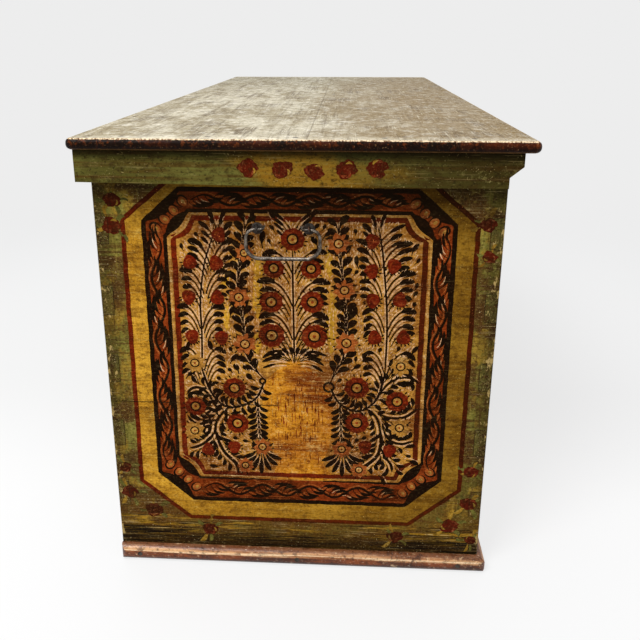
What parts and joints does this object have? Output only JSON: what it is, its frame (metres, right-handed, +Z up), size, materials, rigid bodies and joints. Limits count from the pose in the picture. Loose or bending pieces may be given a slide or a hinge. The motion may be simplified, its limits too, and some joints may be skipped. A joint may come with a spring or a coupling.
{
  "type": "wedding chest",
  "caption": "Painted dovetailed pine chest with flat hinged lid, base moulding, end bail handles, inner till and box lock with key, for storing linen.",
  "frame": {"origin": "on the floor, under the middle of the carcass", "axes": "+X along the chest towards the end away from the till, -Y towards the front, +Z up"},
  "size_m": [1.506, 0.6141, 0.6573],
  "materials": {
    "painted_pine": "oil-painted softwood, worn and varnished",
    "painted_moulding": "red-brown painted softwood, rubbed",
    "painted_lid": "painted softwood, rubbed and dusty",
    "bare_pine": "planed softwood, unpainted",
    "wrought_iron": "forged and blackened",
    "worn_iron": "forged, rubbed bright by hands"
  },
  "bodies": {
    "carcass": {"front_plank_lower": "painted_pine", "front_plank_upper": "painted_pine", "back_plank_lower": "painted_pine", "back_plank_upper": "painted_pine", "left_end_plank_lower": "painted_pine", "left_end_plank_upper": "painted_pine", "right_end_plank_lower": "painted_pine", "right_end_plank_upper": "painted_pine", "base_moulding_front": "painted_moulding", "base_moulding_left": "painted_moulding", "base_moulding_right": "painted_moulding", "bottom_plank_front": "bare_pine", "bottom_plank_middle": "bare_pine", "bottom_plank_rear": "bare_pine", "till_front": "bare_pine", "till_floor": "bare_pine", "left_hinge_leaf": "wrought_iron", "right_hinge_leaf": "wrought_iron", "left_hinge_pin": "wrought_iron", "right_hinge_pin": "wrought_iron", "hinge_leaf_nails": "wrought_iron", "left_handle_eyes": "wrought_iron", "left_handle_roses": "wrought_iron", "right_handle_eyes": "wrought_iron", "right_handle_roses": "wrought_iron", "lock_nails": "wrought_iron", "lock_plate": "wrought_iron", "lock_case": "wrought_iron", "escutcheon": "wrought_iron", "escutcheon_nails": "wrought_iron", "bottom_nails": "wrought_iron", "moulding_nails": "wrought_iron"},
    "lid": {"lid_plank_front": "painted_lid", "lid_plank_rear": "painted_lid", "lid_cleat_left": "painted_pine", "lid_cleat_right": "painted_pine", "left_hinge_strap": "wrought_iron", "right_hinge_strap": "wrought_iron", "hinge_strap_nails": "wrought_iron", "cleat_nails": "wrought_iron", "catch_nails": "wrought_iron", "lid_catch": "wrought_iron"},
    "left_handle": {"left_handle_bail": "worn_iron"},
    "right_handle": {"right_handle_bail": "worn_iron"},
    "till_lid": {"till_lid": "bare_pine"},
    "key": {"key": "worn_iron"},
    "lock_bolt": {"lock_bolt": "wrought_iron"}
  },
  "joints": [
    {"name": "lid_hinge", "type": "hinge", "parent": "carcass", "child": "lid", "pos_m": [0, 0.2815, 0.6365], "axis": [-1, 0, 0], "range_deg": [0, 100]},
    {"name": "left_handle_swing", "type": "hinge", "parent": "carcass", "child": "left_handle", "pos_m": [-0.724, 0.018, 0.535], "axis": [0, 1, 0], "range_deg": [0, 160]},
    {"name": "right_handle_swing", "type": "hinge", "parent": "carcass", "child": "right_handle", "pos_m": [0.724, 0.018, 0.535], "axis": [0, -1, 0], "range_deg": [0, 160]},
    {"name": "till_lid_hinge", "type": "hinge", "parent": "carcass", "child": "till_lid", "pos_m": [-0.686, 0, 0.516], "axis": [0, -1, 0], "range_deg": [0, 92]},
    {"name": "key_turn", "type": "hinge", "parent": "carcass", "child": "key", "pos_m": [0, -0.275, 0.582], "axis": [0, -1, 0], "range_deg": [0, 90]},
    {"name": "bolt_slide", "type": "slide", "parent": "carcass", "child": "lock_bolt", "axis": [1, 0, 0], "range_m": [0, 0.012]}
  ],
  "couplings": [
    {"joint": "bolt_slide", "follows": "key_turn", "m_per_rad": 0.0076394}
  ]
}
